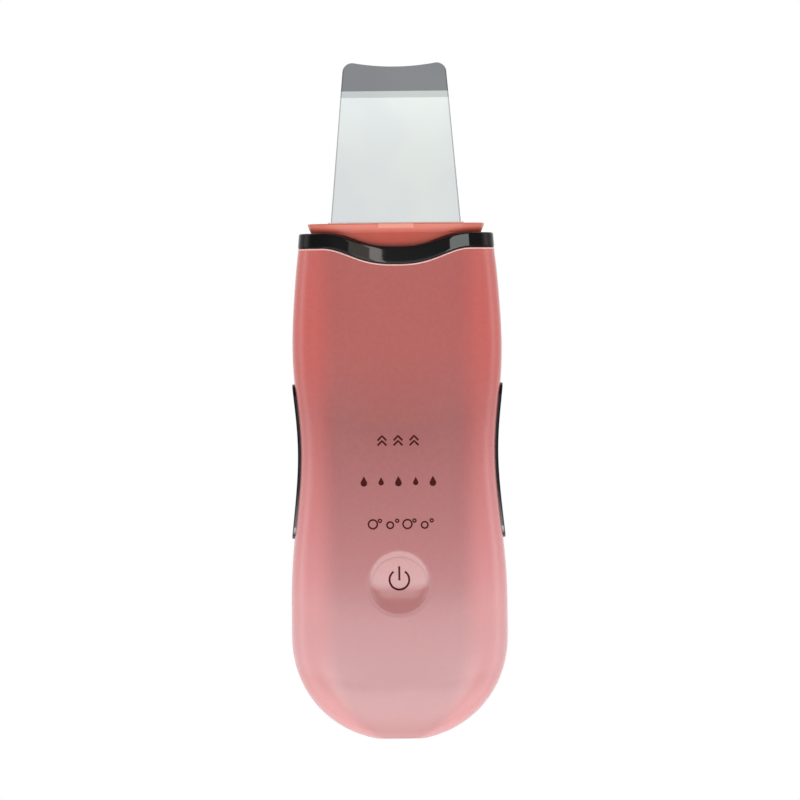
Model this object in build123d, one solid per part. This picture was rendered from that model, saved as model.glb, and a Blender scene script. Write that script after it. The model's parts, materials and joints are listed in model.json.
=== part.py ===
from build123d import *
import math
import os

# Ultrasonic skin scrubber, upright on its lower end: +Z along the body to the blade, front face -Y.
# All lengths in millimetres.

# ---- body envelope ------------------------------------------------------------------------------
RIM_Z = 126.2              # top of the trim band at the sides
LOFT_TOP = 128.0
BULGE_HALF_W = 27.02       # half-width of the lower bulge
END_L = 26.0               # height over which the lower end rounds off in width
END_SHIFT = 0.6            # how far the round end is cut off to leave a flat to stand on
END_P = 2.1
DEPTH_END_L = 14.0         # same rounding seen from the side
DEPTH_END_SHIFT = 1.15
DEPTH_END_P = 2.2
SQUARENESS = 3.2           # superellipse exponent of the cross-sections
WIDTH_STATIONS = [(27.0, 27.02), (38.0, 26.95), (48.0, 26.30), (60.0, 25.05), (70.5, 24.42),
                  (80.0, 24.85), (91.0, 25.95), (100.0, 26.17), (109.0, 25.74), (118.0, 24.96),
                  (128.0, 24.15)]
DEPTH_STATIONS = [(14.0, 10.75), (34.0, 10.90), (50.0, 10.40), (66.0, 9.90), (84.0, 9.50),
                  (102.0, 9.20), (116.0, 8.90), (128.0, 8.60)]
WALL_W = 2.0               # wall thickness at the sides
WALL_D = 1.9               # wall thickness front and rear
FLOOR_T = 2.2
CAVITY_TOP = 110.0
HALF_POINTS = 17           # points on each half section

# ---- neck, band and blade -----------------------------------------------------------------------
BAND_H = 3.75              # band height at the sides
BAND_H_MID = 4.35          # band height at the middle of the dip
BAND_DIP = 4.05            # how far the lower edge dips at the middle
DIP_HALF_W = 18.5
DIP_POWER = 1.333
REVEAL = 0.12              # gap between shell rim and band
NECK_HALF_W = 21.25
NECK_HALF_D = 6.80
NECK_FIT = 0.08
LIP_HALF_W = 22.05
LIP_HALF_D = 7.35
FLARE_Z = 126.3            # the collar widens from here
LIP_Z = 127.5              # to here
NECK_TOP = 128.6
NECK_BOTTOM = 110.4
NECK_WALL = 1.8
NECK_CEILING = 125.2
SNAP_W = 8.8
SNAP_H = 1.2
SNAP_PROUD = 0.75

BLADE_T = 0.6
BLADE_ROOT_Z = 123.2
BLADE_ROOT_HALF_W = 16.75
BLADE_BEND_Z = 160.1       # start of the bend
BLADE_BEND_R = 4.0
BLADE_TIP_ANGLE = 30.0
BLADE_TIP_HALF_W = 12.75
BLADE_TOP = 169.46         # height of the sharp tip corners before they are rounded
BLADE_TIP_SAG = 1.45
BLADE_CORNER_R = 2.4
TANG_HALF_W = 9.0
TANG_BOTTOM = 106.0
SEAL_HALF_W = 17.05
SEAL_HALF_D = 1.6
SEAL_TOP = 128.95

# ---- side contact strips ------------------------------------------------------------------------
STRIP_Z0 = 50.0
STRIP_Z1 = 88.7
STRIP_HALF_D = 3.0
STRIP_PROUD = 0.62
STRIP_SUNK = 0.80
STRIP_LEG_Z = 78.0

# ---- button and switch --------------------------------------------------------------------------
BUTTON_Z = 38.3
BUTTON_R = 7.0
BUTTON_GAP = 0.08
DISH_R = 7.95              # the dish runs past the button into the shell round it
DISH_DEPTH = 1.15
DISH_RISE = 0.8            # the dish's own axis lies this much above the button's, square to the tilted face
DISH_EDGE_R = 4.0          # soft rounding between the dish and the face
FLANGE_R = 8.3
FLANGE_FRONT = -8.85
FLANGE_BACK = -7.95
POST_R = 2.0
POST_END = -7.10
STEM_R = 1.7
STEM_FRONT = -7.00

# ---- board and what sits on it ------------------------------------------------------------------
BOARD_FRONT = -2.65
BOARD_BACK = -1.45
BOARD_HALF_W = 17.0
BOARD_Z0 = 12.5
BOARD_Z1 = 84.0
BOSS_R = 2.6
PILOT_R = 0.85
BOARD_SCREWS = [(-14.3, 18.0), (14.3, 18.0), (-14.3, 70.0), (14.3, 70.0)]
CARRIER_SCREWS = [(-19.0, 101.0), (19.0, 101.0)]
USB_HALF_W = 3.75
USB_HALF_D = 1.45
LED_Z = [74.4, 64.3, 53.6]

# ---- ultrasonic drive ---------------------------------------------------------------------------
BLOCK_HALF_W = 12.0
BLOCK_HALF_D = 2.5
BLOCK_Z0 = 104.0
BLOCK_Z1 = 120.0
PIEZO_R = 7.0
PIEZO_T = 1.5
PIEZO_Z = 112.0


# ---- small helpers ------------------------------------------------------------------------------
def smooth_curve(stations):
    """Cubic through the stations, second derivative continuous, level at the first one."""
    xs = [s[0] for s in stations]
    ys = [s[1] for s in stations]
    n = len(xs)
    h = [xs[i + 1] - xs[i] for i in range(n - 1)]
    s = [(ys[i + 1] - ys[i]) / h[i] for i in range(n - 1)]
    diag = [2.0 * h[0]] + [2.0 * (h[i - 1] + h[i]) for i in range(1, n - 1)] + [1.0]
    rhs = [6.0 * s[0]] + [6.0 * (s[i] - s[i - 1]) for i in range(1, n - 1)] + [0.0]
    upper = h[:-1] + [h[-1], 0.0]
    upper[0] = h[0]
    lower = [0.0] + h[:-1] + [0.0]
    for i in range(1, n):
        w = lower[i] / diag[i - 1]
        diag[i] -= w * upper[i - 1]
        rhs[i] -= w * rhs[i - 1]
    m = [0.0] * n
    m[-1] = rhs[-1] / diag[-1]
    for i in range(n - 2, -1, -1):
        m[i] = (rhs[i] - upper[i] * m[i + 1]) / diag[i]

    def value(x):
        i = max(k for k in range(n - 1) if xs[k] <= x or k == 0)
        a = (xs[i + 1] - x) / h[i]
        b = (x - xs[i]) / h[i]
        bend = ((a ** 3 - a) * m[i] + (b ** 3 - b) * m[i + 1]) * h[i] ** 2 / 6.0
        return a * ys[i] + b * ys[i + 1] + bend

    return value


width_curve = smooth_curve(WIDTH_STATIONS)
depth_curve = smooth_curve(DEPTH_STATIONS)


def end_factor(z, length, shift, power):
    t = min(1.0, (z + shift) / (length + shift))
    return (1.0 - (1.0 - t) ** power) ** (1.0 / power)


def half_width(z):
    if z >= END_L:
        return width_curve(max(z, WIDTH_STATIONS[0][0]))
    return BULGE_HALF_W * end_factor(z, END_L, END_SHIFT, END_P)


def half_depth(z):
    if z >= DEPTH_END_L:
        return depth_curve(z)
    return DEPTH_STATIONS[0][1] * end_factor(z, DEPTH_END_L, DEPTH_END_SHIFT, DEPTH_END_P)


def half_curve(a, b, z, rear):
    """Half of a superellipse a x b at height z, from -a to +a round the front (or the rear)."""
    sign = 1.0 if rear else -1.0
    pts = []
    for i in range(HALF_POINTS):
        t = math.pi * (1.0 - i / (HALF_POINTS - 1))
        c = math.cos(t)
        s = math.sin(t) if 0 < i < HALF_POINTS - 1 else 0.0
        r = (abs(c) ** SQUARENESS + s ** SQUARENESS) ** (-1.0 / SQUARENESS)
        pts.append((a * c * r, sign * b * s * r, z))
    return Edge.make_spline(pts, tangents=[(0, sign, 0), (0, -sign, 0)], scale=False)


def section(a, b, z, rear=False):
    """Half section closed along y = 0."""
    return Wire([half_curve(a, b, z, rear), Edge.make_line((a, 0, z), (-a, 0, z))])


def ring(a, b, z):
    """Whole superellipse section."""
    return Wire([half_curve(a, b, z, False), half_curve(a, b, z, True)])


def lofted(levels, width, depth, rear=False):
    return Solid.make_loft([section(width(z), depth(z), z, rear) for z in levels])


def prism(a, b, z0, z1):
    return Solid.extrude(Face(ring(a, b, z0)), Vector(0, 0, z1 - z0))


def wall_y(x, z, inset):
    """Depth of the moulded wall at x, z: the outer skin moved in by inset."""
    a = half_width(z) - inset
    b = half_depth(z) - inset
    return b * (1.0 - (abs(x) / a) ** SQUARENESS) ** (1.0 / SQUARENESS)


def box(x0, x1, y0, y1, z0, z1):
    size = (abs(x1 - x0), abs(y1 - y0), abs(z1 - z0))
    return Pos((x0 + x1) / 2, (y0 + y1) / 2, (z0 + z1) / 2) * Box(*size)


def rod_y(x, z, r, y0, y1):
    return Pos(x, (y0 + y1) / 2, z) * Rot(90, 0, 0) * Cylinder(r, abs(y1 - y0))


def plate_xz(outline, y0, y1):
    """Closed outline in X-Z, thickened from y0 to y1."""
    face = Face(outline)
    return Solid.extrude(face.moved(Location((0, y0, 0))), Vector(0, y1 - y0, 0))


def line(p, q):
    return Edge.make_line(p, q)


def wire_run(points, radius, wire_r):
    path = FilletPolyline(*points, radius=radius)
    start = Plane(origin=path @ 0, z_dir=path % 0)
    return sweep(start * Circle(wire_r), path=path)


def export(name, shape):
    shape.label = name
    export_step(shape, "parts/" + name + ".step")


# ---- trim band wave -----------------------------------------------------------------------------
def dip(x):
    u = min(1.0, abs(x) / DIP_HALF_W)
    return 0.5 * (1.0 + math.cos(math.pi * u ** DIP_POWER))


def wave_low(x, off=0.0):
    return RIM_Z - BAND_H - BAND_DIP * dip(x) + off


def wave_high(x):
    return RIM_Z - (BAND_DIP - (BAND_H_MID - BAND_H)) * dip(x)


def wave_edge(func, span, count=33):
    xs = [-span + 2.0 * span * i / (count - 1) for i in range(count)]
    return Edge.make_spline([(x, 0, func(x)) for x in xs])


def above_wave(func, top=140.0, span=32.0):
    """Everything above a wavy surface, as a solid through the whole depth."""
    low = wave_edge(func, span)
    a = low @ 0
    b = low @ 1
    outline = Wire([low, line(b, (span, 0, top)), line((span, 0, top), (-span, 0, top)),
                      line((-span, 0, top), a)])
    return plate_xz(outline, -20, 20)


# ---- body shells --------------------------------------------------------------------------------
low_levels = [0.0, 0.3, 0.9, 1.9, 3.4, 5.6, 8.6, 12.5, 17.5, 23.0]
high_levels = [29.0, 38.0, 47.0, 56.0, 65.0, 74.0, 83.0, 92.0, 101.0, 110.0, 119.0, LOFT_TOP]
front_body = lofted(low_levels + high_levels, half_width, half_depth)
rear_body = lofted(low_levels + high_levels, half_width, half_depth, rear=True)


def inner_width(z):
    return half_width(z) - WALL_W


def inner_depth(z):
    return half_depth(z) - WALL_D


cavity_levels = [FLOOR_T, 3.2, 5.0, 8.0, 12.5, 18.0, 25.0]
cavity_levels += [36.0, 48.0, 60.0, 72.0, 84.0, 97.0, CAVITY_TOP]
front_cavity = lofted(cavity_levels, inner_width, inner_depth)
rear_cavity = lofted(cavity_levels, inner_width, inner_depth, rear=True)
mouth = prism(NECK_HALF_W + NECK_FIT, NECK_HALF_D + NECK_FIT, CAVITY_TOP - 1.0, RIM_Z + 5.0)
above_shell = above_wave(lambda x: wave_low(x, -REVEAL))
usb_mouth = box(-4.1, 4.1, -1.75, 1.75, -1.0, FLOOR_T + 4.0)


def strip_outline(grow):
    """Stadium seen from the side, spanning the strip's length."""
    length = STRIP_Z1 - STRIP_Z0
    face = Plane.YZ * Pos(0, (STRIP_Z0 + STRIP_Z1) / 2) * Rot(0, 0, 90)
    return face * SlotOverall(length + 2 * grow, 2 * (STRIP_HALF_D + grow))


def side_layer(outer_off, inner_off, side):
    """Layer that follows the side profile between two offsets, through the depth."""
    zs = [STRIP_Z0 - 2.0 + i * (STRIP_Z1 - STRIP_Z0 + 4.0) / 12 for i in range(13)]
    out = Edge.make_spline([(side * (half_width(z) + outer_off), 0, z) for z in zs])
    inn = Edge.make_spline([(side * (half_width(z) - inner_off), 0, z) for z in zs])
    outline = Wire([out, line(out @ 1, inn @ 1), inn, line(inn @ 0, out @ 0)])
    return plate_xz(outline, -6, 6)


def strip_solid(side, outer_off, inner_off, grow):
    slab = extrude(strip_outline(grow), amount=side * 32.0, dir=(1, 0, 0))
    return slab & side_layer(outer_off, inner_off, side)


recesses = []
for side in (-1, 1):
    recesses.append(strip_solid(side, 3.0, STRIP_SUNK + 0.04, 0.06))
    x_out = side * (half_width(STRIP_LEG_Z) - 0.5)
    x_in = side * (half_width(STRIP_LEG_Z) - 4.0)
    recesses.append(box(x_in, x_out, -1.3, 1.3, STRIP_LEG_Z - 2.1, STRIP_LEG_Z + 2.1))

bosses = []
pilots = []
for x, z in BOARD_SCREWS:
    bosses.append(rod_y(x, z, BOSS_R, -wall_y(abs(x) + BOSS_R, z, 0.3), BOARD_FRONT))
    pilots.append(rod_y(x, z, PILOT_R, -7.0, BOARD_FRONT + 1))
for x, z in CARRIER_SCREWS:
    bosses.append(rod_y(x, z, BOSS_R, -wall_y(abs(x) + BOSS_R, z, 0.3), -3.6))
    pilots.append(rod_y(x, z, PILOT_R, -7.0, -3))

common = [mouth, above_shell, usb_mouth] + recesses
sphere_r = (DISH_R ** 2 + DISH_DEPTH ** 2) / (2.0 * DISH_DEPTH)
dish_bottom = -half_depth(BUTTON_Z) + DISH_DEPTH
dish = Pos(0, dish_bottom - sphere_r, BUTTON_Z + DISH_RISE) * Sphere(sphere_r)
front_body = front_body - dish
dish_round = 2.0 * math.pi * DISH_R
dish_edges = [e for e in front_body.edges() if abs(e.length - dish_round) < 3.0 and e.center().Y < -9.5]
front_body = fillet(dish_edges, DISH_EDGE_R)
button_hole = rod_y(0, BUTTON_Z, BUTTON_R + BUTTON_GAP, -14, -6)
flange_pocket = rod_y(0, BUTTON_Z, FLANGE_R + 0.3, FLANGE_FRONT - 0.06, -6)
front = front_body - ([front_cavity] + common + [button_hole, flange_pocket])
front = (front + bosses) - pilots

ribs = [box(x - 0.6, x + 0.6, 4.75, 9.0, 46, 78) for x in (-8.4, 8.4)]
rear = (rear_body - ([rear_cavity] + common)) + ribs

# ---- trim band and neck collar ------------------------------------------------------------------
band_zone = above_wave(wave_low) - above_wave(wave_high)
band = (front_body & band_zone) + (rear_body & band_zone)
band = band - mouth

neck = Solid.make_loft([ring(NECK_HALF_W, NECK_HALF_D, NECK_BOTTOM),
                        ring(NECK_HALF_W, NECK_HALF_D, FLARE_Z),
                        ring(LIP_HALF_W - 0.25, LIP_HALF_D - 0.15, LIP_Z),
                        ring(LIP_HALF_W, LIP_HALF_D, NECK_TOP - 0.25),
                        ring(LIP_HALF_W - 0.15, LIP_HALF_D - 0.15, NECK_TOP)], ruled=True)
snap_front = -LIP_HALF_D - SNAP_PROUD
snap = Wire.make_polygon([(0, snap_front, NECK_TOP - 0.1), (0, snap_front + 0.08, NECK_TOP - SNAP_H),
                          (0, -LIP_HALF_D + 1, NECK_TOP - SNAP_H), (0, -LIP_HALF_D + 1, NECK_TOP - 0.1)])
neck = neck + extrude(Face(snap), amount=SNAP_W / 2, dir=(1, 0, 0), both=True)
neck = neck - prism(NECK_HALF_W - NECK_WALL, NECK_HALF_D - NECK_WALL, NECK_BOTTOM - 1, NECK_CEILING)
seal_pocket = box(-SEAL_HALF_W, SEAL_HALF_W, -SEAL_HALF_D, SEAL_HALF_D, NECK_CEILING - 1, NECK_TOP + 1)
neck = neck - seal_pocket

# ---- blade and seal -----------------------------------------------------------------------------
bend = math.radians(BLADE_TIP_ANGLE)
with BuildSketch(Plane.YZ) as side_view:
    with BuildLine():
        flat = Line((0, TANG_BOTTOM), (0, BLADE_BEND_Z))
        curve = JernArc(flat @ 1, (0, 1), BLADE_BEND_R, -BLADE_TIP_ANGLE)
        tip = Line(curve @ 1, (curve @ 1) + Vector(math.sin(bend), math.cos(bend)) * 9.5)
        offset(amount=BLADE_T / 2, side=Side.BOTH)
    make_face()
blade_sheet = extrude(side_view.sketch, amount=20, both=True)
sag_arc = Edge.make_three_point_arc((-BLADE_TIP_HALF_W, 0, BLADE_TOP), (0, 0, BLADE_TOP - BLADE_TIP_SAG),
                                    (BLADE_TIP_HALF_W, 0, BLADE_TOP))
right = [(BLADE_TIP_HALF_W, 0, BLADE_TOP), (BLADE_ROOT_HALF_W, 0, BLADE_ROOT_Z),
         (TANG_HALF_W, 0, BLADE_ROOT_Z), (TANG_HALF_W, 0, TANG_BOTTOM)]
left = [(-p[0], 0, p[2]) for p in reversed(right)]
corners = right + left
sides = [line(corners[i], corners[i + 1]) for i in range(len(corners) - 1)]
blade_face = Face(Wire([sag_arc] + sides))
tips = [v for v in blade_face.vertices() if abs(v.Z - BLADE_TOP) < 0.01]
blade_face = blade_face.fillet_2d(BLADE_CORNER_R, tips)
blade = blade_sheet & Solid.extrude(blade_face.moved(Location((0, -20, 0))), Vector(0, 40, 0))

seal = box(-SEAL_HALF_W + 0.05, SEAL_HALF_W - 0.05, -SEAL_HALF_D + 0.05, SEAL_HALF_D - 0.05,
           NECK_CEILING - 0.8, SEAL_TOP)
seal = fillet(seal.edges().filter_by(Axis.Z), 1.2)
seal_flange = box(-SEAL_HALF_W - 0.6, SEAL_HALF_W + 0.6, -SEAL_HALF_D - 0.6, SEAL_HALF_D + 0.6,
                  NECK_CEILING - 0.9, NECK_CEILING - 0.05)
seal = seal + seal_flange
slot_half_w = BLADE_ROOT_HALF_W + 0.01
seal = seal - box(-slot_half_w, slot_half_w, -BLADE_T / 2 - 0.01, BLADE_T / 2 + 0.01, 120, 140)

# ---- contact strips -----------------------------------------------------------------------------
strips = {}
springs = []
for side, name in ((-1, "left_contact_strip"), (1, "right_contact_strip")):
    strip = strip_solid(side, STRIP_PROUD, STRIP_SUNK, 0.0)
    outer_face = strip.faces().sort_by(Axis.X)[-1 if side > 0 else 0]
    strip = fillet(outer_face.edges(), 0.3)
    x_out = side * (half_width(STRIP_LEG_Z) - 0.6)
    x_in = side * (half_width(STRIP_LEG_Z) - 3.4)
    strip = strip + box(x_in, x_out, -1.1, 1.1, STRIP_LEG_Z - 1.9, STRIP_LEG_Z + 1.9)
    strips[name] = strip
    x_leg = abs(x_in) - 0.02
    leaf = [(12.6, BOARD_BACK + 0.16), (16.2, BOARD_BACK + 0.16), (17.8, 0.6), (x_leg - 0.16, 0.6),
            (x_leg - 0.16, -0.9)]
    pts = [(side * p[0], p[1]) for p in leaf]
    path = FilletPolyline(*[(p[0], p[1], STRIP_LEG_Z - 1.4) for p in pts], radius=0.5)
    start = Plane(origin=path @ 0, z_dir=path % 0, x_dir=(0, 0, 1))
    leaf_solid = sweep(start * Pos(1.4, 0) * Rectangle(2.8, 0.3), path=path)
    springs.append(leaf_solid)

# ---- button and switch --------------------------------------------------------------------------
button = rod_y(0, BUTTON_Z, BUTTON_R, dish_bottom - 2.0, FLANGE_BACK)
button = button + rod_y(0, BUTTON_Z, FLANGE_R, FLANGE_FRONT, FLANGE_BACK)
button = button + rod_y(0, BUTTON_Z, POST_R, FLANGE_BACK, POST_END)
button = button - dish

switch = box(-3.0, 3.0, -5.9, BOARD_FRONT, BUTTON_Z - 3.0, BUTTON_Z + 3.0)
switch = chamfer(switch.edges().filter_by(Axis.Y), 0.4)
switch = switch - rod_y(0, BUTTON_Z, STEM_R + 0.05, -7, -4.0)
stem = rod_y(0, BUTTON_Z, STEM_R, STEM_FRONT, -4.6)

# ---- main board and components ------------------------------------------------------------------
board = box(-BOARD_HALF_W, BOARD_HALF_W, BOARD_FRONT, BOARD_BACK, BOARD_Z0, BOARD_Z1)
board = chamfer(board.edges().filter_by(Axis.Y), 2.5)
board = board + box(-6.5, 6.5, BOARD_FRONT, BOARD_BACK, 3.0, BOARD_Z0 + 0.5)
for x, z in BOARD_SCREWS:
    board = board - rod_y(x, z, 1.1, -5, 1)

leds = [box(-1.6, 1.6, BOARD_FRONT - 0.9, BOARD_FRONT, z - 0.8, z + 0.8) for z in LED_Z]
baffle_front = -6.2
baffle = box(-11, 11, baffle_front, BOARD_FRONT, 49.6, 78.4)
for z in LED_Z:
    baffle = baffle - box(-10, 10, -8, 0, z - 3.6, z + 3.6)

usb = box(-USB_HALF_W, USB_HALF_W, -USB_HALF_D, USB_HALF_D, 0.5, 6.1)
usb = fillet(usb.edges().filter_by(Axis.Z), 0.6)
usb = usb - box(-USB_HALF_W + 0.3, USB_HALF_W - 0.3, -USB_HALF_D + 0.3, USB_HALF_D - 0.3, 0, 5.7)
tongue = box(-2.0, 2.0, -0.25, 0.45, 1.4, 5.7)

battery = box(-11.6, 11.6, -0.90, 4.60, 42.5, 81.5)
battery = fillet(battery.edges().filter_by(Axis.Z), 2.2)
battery = fillet(battery.edges().group_by(Axis.Z)[0] + battery.edges().group_by(Axis.Z)[-1], 0.6)
pad = box(-10, 10, BOARD_BACK, -0.90, 46, 78)

connector = box(4.0, 10.0, BOARD_BACK, 2.6, 30.0, 35.5)
connector = connector - box(5.0, 9.0, -0.4, 1.6, 33.0, 37)
coil = rod_y(-8.5, 28.0, 4.8, BOARD_BACK, 4.4)
coil = coil - (rod_y(-8.5, 28.0, 6.0, -0.4, 3.4) - rod_y(-8.5, 28.0, 3.1, -0.4, 3.4))
winding = rod_y(-8.5, 28.0, 4.3, -0.4, 3.4) - rod_y(-8.5, 28.0, 3.1, -0.4, 3.4)
control = box(-13.0, -8.0, BOARD_FRONT - 1.4, BOARD_FRONT, 22.0, 28.0)
control = chamfer(control.faces().sort_by(Axis.Y)[0].edges(), 0.25)
charger = box(6.5, 10.5, BOARD_FRONT - 1.2, BOARD_FRONT, 22.0, 27.0)
charger = chamfer(charger.faces().sort_by(Axis.Y)[0].edges(), 0.2)
transistors = [box(x - 1.5, x + 1.5, BOARD_FRONT - 1.1, BOARD_FRONT, z - 1.1, z + 1.1)
               for x, z in ((-10.5, 33.0), (-10.5, 38.0), (10.0, 33.0))]
capacitors = [rod_y(x, z, 2.0, BOARD_BACK, 2.9) for x, z in ((4.5, 22.5), (9.5, 22.5))]

# ---- ultrasonic drive ---------------------------------------------------------------------------
block = box(-BLOCK_HALF_W, BLOCK_HALF_W, -BLOCK_HALF_D, BLOCK_HALF_D, BLOCK_Z0, BLOCK_Z1)
block = chamfer(block.edges().filter_by(Axis.Y), 1.0)
block = block - box(-TANG_HALF_W - 0.01, TANG_HALF_W + 0.01, -BLADE_T / 2 - 0.005,
                    BLADE_T / 2 + 0.005, TANG_BOTTOM - 0.01, 130)
piezo_front = rod_y(0, PIEZO_Z, PIEZO_R, -BLOCK_HALF_D - PIEZO_T, -BLOCK_HALF_D)
piezo_rear = rod_y(0, PIEZO_Z, PIEZO_R, BLOCK_HALF_D, BLOCK_HALF_D + PIEZO_T)

pads = [box(s * BLOCK_HALF_W, s * (BLOCK_HALF_W + 1.8), -2.2, 2.2, 107, 117) for s in (-1, 1)]
carrier = box(-16.2, 16.2, -3.4, 3.4, 97.0, 119.0)
carrier = carrier - box(-13.8, 13.8, -5, 5, 100.2, 121)
for s in (-1, 1):
    carrier = carrier + box(s * 15.5, s * 21.0, -3.5, -1.7, 98.0, 104.0)
for x, z in CARRIER_SCREWS:
    carrier = carrier - rod_y(x, z, 1.1, -5, 1)

# ---- leads --------------------------------------------------------------------------------------
battery_leads = []
for x0, x1 in ((-1.6, 6.1), (1.6, 7.9)):
    battery_leads.append(wire_run([(x0, 1.6, 42.5), (x0, 1.6, 39.6), (x1, 0.6, 38.4),
                                   (x1, 0.6, 33.0)], 1.0, 0.55))
piezo_leads = []
for s in (-1, 1):
    y0 = BOARD_FRONT - 0.5 if s < 0 else BOARD_BACK + 0.5
    y1 = s * (BLOCK_HALF_D + PIEZO_T + 0.5)
    piezo_leads.append(wire_run([(s * 5, y0, 82.2), (s * 5, y0, 88.0), (s * 2, y1, 95.0),
                                 (s * 2, y1, 108.5)], 2.0, 0.5))


# ---- screws -------------------------------------------------------------------------------------
def screw_y(x, z, y_head, length):
    head = rod_y(x, z, 1.9, y_head, y_head + 1.2)
    shank = rod_y(x, z, 0.83, y_head - length, y_head + 0.1)
    cross = box(x - 1.1, x + 1.1, y_head + 0.6, y_head + 2, z - 0.2, z + 0.2)
    cross = cross + box(x - 0.2, x + 0.2, y_head + 0.6, y_head + 2, z - 1.1, z + 1.1)
    return head + shank - cross


board_screws = [screw_y(x, z, BOARD_BACK, 5.0) for x, z in BOARD_SCREWS]
carrier_screws = [screw_y(x, z, -1.7, 5.0) for x, z in CARRIER_SCREWS]

# ---- files --------------------------------------------------------------------------------------
os.makedirs("parts", exist_ok=True)
export("front_shell", front)
export("rear_shell", rear)
export("trim_band", band)
export("neck_collar", neck)
export("spatula_blade", blade)
export("blade_seal", seal)
export("left_contact_strip", strips["left_contact_strip"])
export("right_contact_strip", strips["right_contact_strip"])
export("strip_contact_springs", Compound(children=springs))
export("power_button", button)
export("tact_switch", switch)
export("tact_stem", stem)
export("main_board", board)
export("mode_leds", Compound(children=leds))
export("light_baffle", baffle)
export("usb_receptacle", usb)
export("usb_tongue", tongue)
export("battery_cell", battery)
export("battery_pad", pad)
export("battery_connector", connector)
export("battery_leads", Compound(children=battery_leads))
export("coil_core", coil)
export("coil_winding", winding)
export("control_chip", control)
export("charge_chip", charger)
export("transistors", Compound(children=transistors))
export("capacitors", Compound(children=capacitors))
export("transducer_block", block)
export("piezo_front", piezo_front)
export("piezo_rear", piezo_rear)
export("isolation_pads", Compound(children=pads))
export("transducer_carrier", carrier)
export("piezo_leads", Compound(children=piezo_leads))
export("board_screws", Compound(children=board_screws))
export("carrier_screws", Compound(children=carrier_screws))
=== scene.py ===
import bpy
import json
import math
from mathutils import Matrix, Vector


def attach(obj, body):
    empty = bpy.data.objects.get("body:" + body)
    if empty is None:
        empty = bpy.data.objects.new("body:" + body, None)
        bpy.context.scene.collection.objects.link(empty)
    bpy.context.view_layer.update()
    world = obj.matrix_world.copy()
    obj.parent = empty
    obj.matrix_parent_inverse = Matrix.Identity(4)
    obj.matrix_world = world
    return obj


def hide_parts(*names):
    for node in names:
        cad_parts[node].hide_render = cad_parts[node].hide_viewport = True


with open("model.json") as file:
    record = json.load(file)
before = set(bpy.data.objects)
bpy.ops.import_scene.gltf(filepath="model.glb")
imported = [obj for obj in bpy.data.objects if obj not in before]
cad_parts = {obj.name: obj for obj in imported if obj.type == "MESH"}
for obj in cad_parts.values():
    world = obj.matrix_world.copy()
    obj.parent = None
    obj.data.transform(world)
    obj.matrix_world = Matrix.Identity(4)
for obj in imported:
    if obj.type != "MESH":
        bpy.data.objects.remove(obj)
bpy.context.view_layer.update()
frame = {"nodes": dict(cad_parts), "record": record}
nodes = frame["nodes"]

# ---------------------------------------------------------------------------------------------
# The body's shape, the same formulas as in the CAD, in millimetres
# ---------------------------------------------------------------------------------------------
RIM_Z = 126.2
BULGE_HALF_W = 27.02
END_L, END_SHIFT, END_P = 26.0, 0.6, 2.1
DEPTH_END_L, DEPTH_END_SHIFT, DEPTH_END_P = 14.0, 1.15, 2.2
POWER = 3.2
WIDTH_STATIONS = [(27.0, 27.02), (38.0, 26.95), (48.0, 26.30), (60.0, 25.05), (70.5, 24.42),
                  (80.0, 24.85), (91.0, 25.95), (100.0, 26.17), (109.0, 25.74), (118.0, 24.96),
                  (128.0, 24.15)]
DEPTH_STATIONS = [(14.0, 10.75), (34.0, 10.90), (50.0, 10.40), (66.0, 9.90), (84.0, 9.50),
                  (102.0, 9.20), (116.0, 8.90), (128.0, 8.60)]
BAND_H, BAND_H_MID, BAND_DIP, DIP_HALF_W, DIP_POWER = 3.75, 4.35, 4.05, 18.5, 1.333
NECK_HALF_W, NECK_HALF_D = 21.25, 6.80
LIP_Z, LIP_HALF_D, SNAP_W = 127.5, 7.35, 8.8
BLADE_ROOT_Z, BLADE_TOP_Z = 123.2, 169.46
BLADE_ROOT_HALF_W, BLADE_TOP_HALF_W = 16.75, 12.75
BUTTON_Z, BUTTON_R, BUTTON_GAP = 38.3, 7.0, 0.08
DISH_R, DISH_DEPTH, DISH_RISE = 7.95, 1.15, 0.8
MM = 0.001
DEG = math.pi / 180.0


def smooth_curve(stations):
    """A smooth curve through the stations, level at the first one and free at the last."""
    xs = [s[0] for s in stations]
    ys = [s[1] for s in stations]
    n = len(xs)
    h = [xs[i + 1] - xs[i] for i in range(n - 1)]
    s = [(ys[i + 1] - ys[i]) / h[i] for i in range(n - 1)]
    diag = [2.0 * h[0]] + [2.0 * (h[i - 1] + h[i]) for i in range(1, n - 1)] + [1.0]
    rhs = [6.0 * s[0]] + [6.0 * (s[i] - s[i - 1]) for i in range(1, n - 1)] + [0.0]
    upper = h[:-1] + [h[-1], 0.0]
    upper[0] = h[0]
    lower = [0.0] + h[:-1] + [0.0]
    for i in range(1, n):
        w = lower[i] / diag[i - 1]
        diag[i] -= w * upper[i - 1]
        rhs[i] -= w * rhs[i - 1]
    m = [0.0] * n
    m[-1] = rhs[-1] / diag[-1]
    for i in range(n - 2, -1, -1):
        m[i] = (rhs[i] - upper[i] * m[i + 1]) / diag[i]

    def value(x):
        i = max(k for k in range(n - 1) if xs[k] <= x or k == 0)
        a = (xs[i + 1] - x) / h[i]
        b = (x - xs[i]) / h[i]
        bend = ((a ** 3 - a) * m[i] + (b ** 3 - b) * m[i + 1]) * h[i] ** 2 / 6.0
        return a * ys[i] + b * ys[i + 1] + bend

    return value


width_curve = smooth_curve(WIDTH_STATIONS)
depth_curve = smooth_curve(DEPTH_STATIONS)


def end_factor(z, length, shift, power):
    """How far the lower end has opened at z, from near zero to one."""
    t = min(1.0, max(0.0, (z + shift) / (length + shift)))
    return (1.0 - (1.0 - t) ** power) ** (1.0 / power)


def half_width(z):
    if z >= END_L:
        return width_curve(max(z, WIDTH_STATIONS[0][0]))
    return BULGE_HALF_W * end_factor(z, END_L, END_SHIFT, END_P)


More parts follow.
